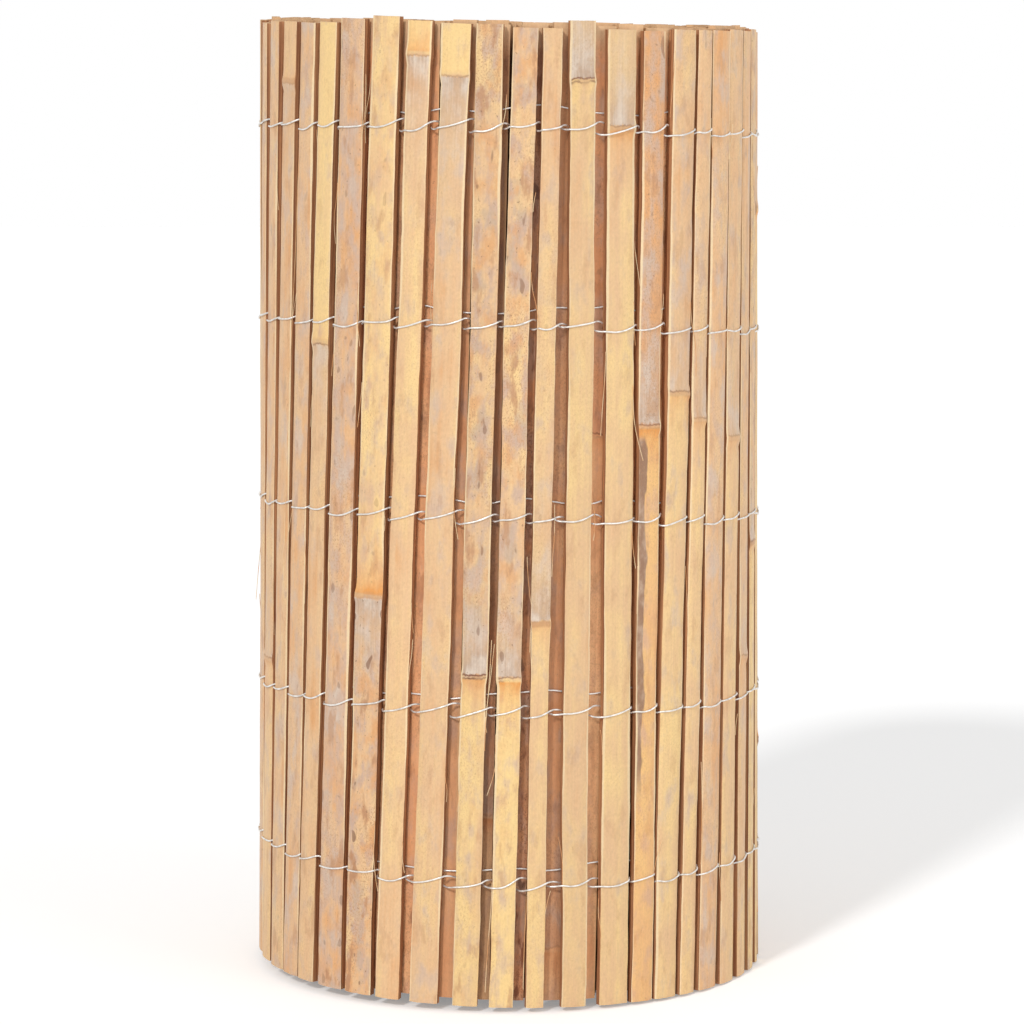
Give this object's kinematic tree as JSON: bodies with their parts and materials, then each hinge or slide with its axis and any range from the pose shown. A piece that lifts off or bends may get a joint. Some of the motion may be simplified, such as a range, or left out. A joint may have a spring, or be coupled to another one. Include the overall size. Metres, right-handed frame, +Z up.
{
  "type": "bamboo fence roll",
  "caption": "Rolled split-bamboo fence standing on its end: upright slats twined together by rows of galvanised wire and wound into a roll with an open core.",
  "frame": {"origin": "on the floor under the middle of the standing roll", "axes": "+Z up along the slats, front of the roll towards -Y, +X to the right seen from the front"},
  "size_m": [0.2734, 0.2756, 0.507],
  "materials": {
    "bamboo_slats": "split bamboo, dry straw tan with mottled rind",
    "bamboo_inner_turns": "split bamboo, browner in the shade of the roll",
    "galvanised_wire": "galvanised, dull silver"
  },
  "bodies": {
    "root": {"inner_turns": "bamboo_inner_turns", "outer_slat_01": "bamboo_slats", "outer_slat_02": "bamboo_slats", "outer_slat_03": "bamboo_slats", "outer_slat_04": "bamboo_slats", "outer_slat_05": "bamboo_slats", "outer_slat_06": "bamboo_slats", "outer_slat_07": "bamboo_slats", "outer_slat_08": "bamboo_slats", "outer_slat_09": "bamboo_slats", "outer_slat_10": "bamboo_slats", "outer_slat_11": "bamboo_slats", "outer_slat_12": "bamboo_slats", "outer_slat_13": "bamboo_slats", "outer_slat_14": "bamboo_slats", "outer_slat_15": "bamboo_slats", "outer_slat_16": "bamboo_slats", "outer_slat_17": "bamboo_slats", "outer_slat_18": "bamboo_slats", "outer_slat_19": "bamboo_slats", "outer_slat_20": "bamboo_slats", "outer_slat_21": "bamboo_slats", "outer_slat_22": "bamboo_slats", "outer_slat_23": "bamboo_slats", "outer_slat_24": "bamboo_slats", "outer_slat_25": "bamboo_slats", "outer_slat_26": "bamboo_slats", "outer_slat_27": "bamboo_slats", "outer_slat_28": "bamboo_slats", "outer_slat_29": "bamboo_slats", "outer_slat_30": "bamboo_slats", "outer_slat_31": "bamboo_slats", "outer_slat_32": "bamboo_slats", "outer_slat_33": "bamboo_slats", "outer_slat_34": "bamboo_slats", "outer_slat_35": "bamboo_slats", "outer_slat_36": "bamboo_slats", "outer_slat_37": "bamboo_slats", "outer_slat_38": "bamboo_slats", "outer_slat_39": "bamboo_slats", "outer_slat_40": "bamboo_slats", "outer_slat_41": "bamboo_slats", "outer_slat_42": "bamboo_slats", "outer_slat_43": "bamboo_slats", "outer_slat_44": "bamboo_slats", "outer_slat_45": "bamboo_slats", "outer_slat_46": "bamboo_slats", "wire_row_1_strand_a": "galvanised_wire", "wire_row_1_strand_b": "galvanised_wire", "wire_row_2_strand_a": "galvanised_wire", "wire_row_2_strand_b": "galvanised_wire", "wire_row_3_strand_a": "galvanised_wire", "wire_row_3_strand_b": "galvanised_wire", "wire_row_4_strand_a": "galvanised_wire", "wire_row_4_strand_b": "galvanised_wire", "wire_row_5_strand_a": "galvanised_wire", "wire_row_5_strand_b": "galvanised_wire"}
  },
  "joints": []
}
